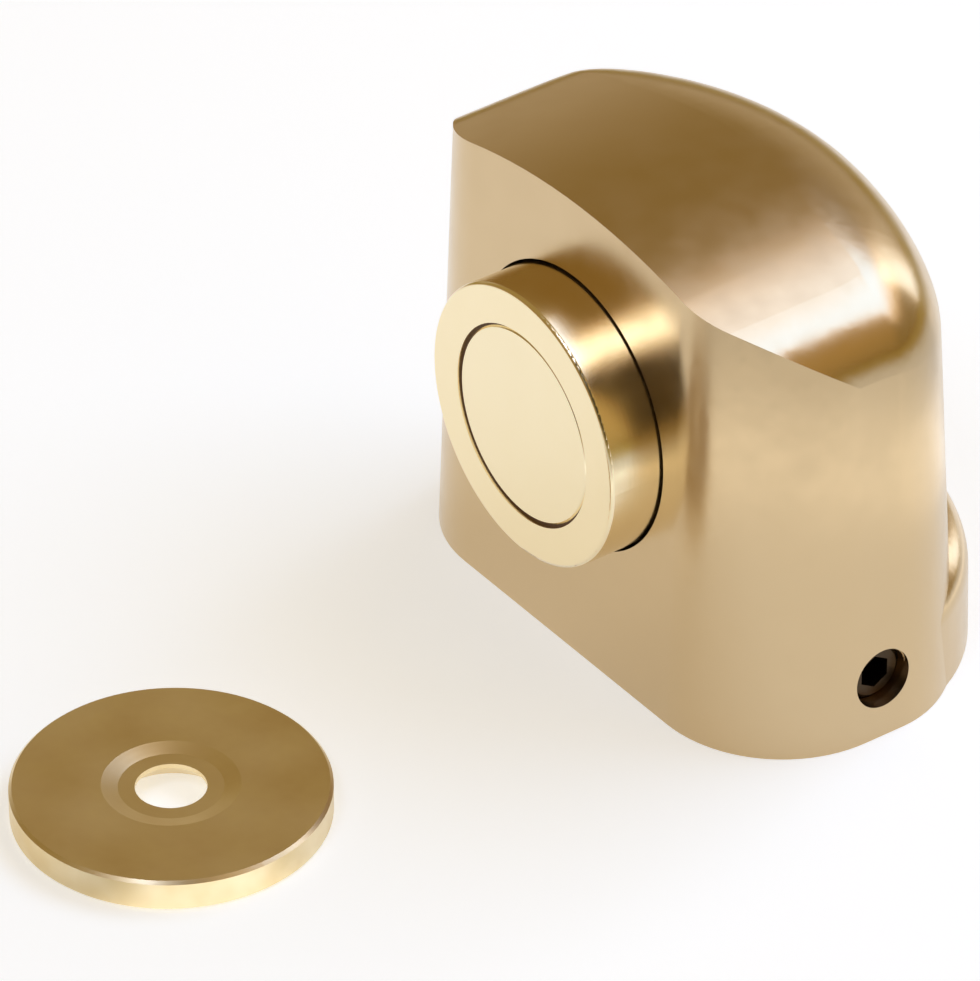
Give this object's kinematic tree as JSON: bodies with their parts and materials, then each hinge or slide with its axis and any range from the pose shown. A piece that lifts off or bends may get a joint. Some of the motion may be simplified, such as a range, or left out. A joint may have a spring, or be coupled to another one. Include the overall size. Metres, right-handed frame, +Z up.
{
  "type": "magnetic door stop",
  "caption": "Floor-mounted magnetic door stop: a D-plan brass housing with a crowned roof and a sprung pot magnet, and the round keeper disc for the door.",
  "frame": {"origin": "middle of the two floor screw holes, on the floor", "axes": "+Z up from the floor, -Y out of the magnet's face towards the door, +X to the right of someone who faces the magnet"},
  "size_m": [0.049, 0.0826, 0.0413],
  "materials": {
    "satin_brass": "satin lacquered",
    "turned_brass": "fine turned",
    "disc_plating": "plated, fine turned",
    "dark_resin": "matt",
    "steel": "turned",
    "bush_bronze": "sintered",
    "spring_steel": "drawn",
    "plate_steel": "zinc plated",
    "black_screw": "black oxide",
    "keeper_plating": "brass plated steel, satin"
  },
  "bodies": {
    "stop": {"housing": "satin_brass", "base_plate": "plate_steel", "grub_screw": "black_screw", "guide_bush": "bush_bronze", "buffer_spring": "spring_steel", "keeper_disc": "keeper_plating"},
    "magnet_head": {"magnet_cup": "turned_brass", "magnet_disc": "disc_plating", "gap_ring": "dark_resin", "plunger_stem": "steel", "thrust_washer": "steel", "retaining_clip": "spring_steel"}
  },
  "joints": [
    {"name": "magnet_buffer", "type": "slide", "parent": "stop", "child": "magnet_head", "axis": [0, 1, 0], "range_m": [0, 0.0025], "stiffness_N_per_m": 2500, "springref_m": -0.002, "deforming": ["buffer_spring"]}
  ]
}
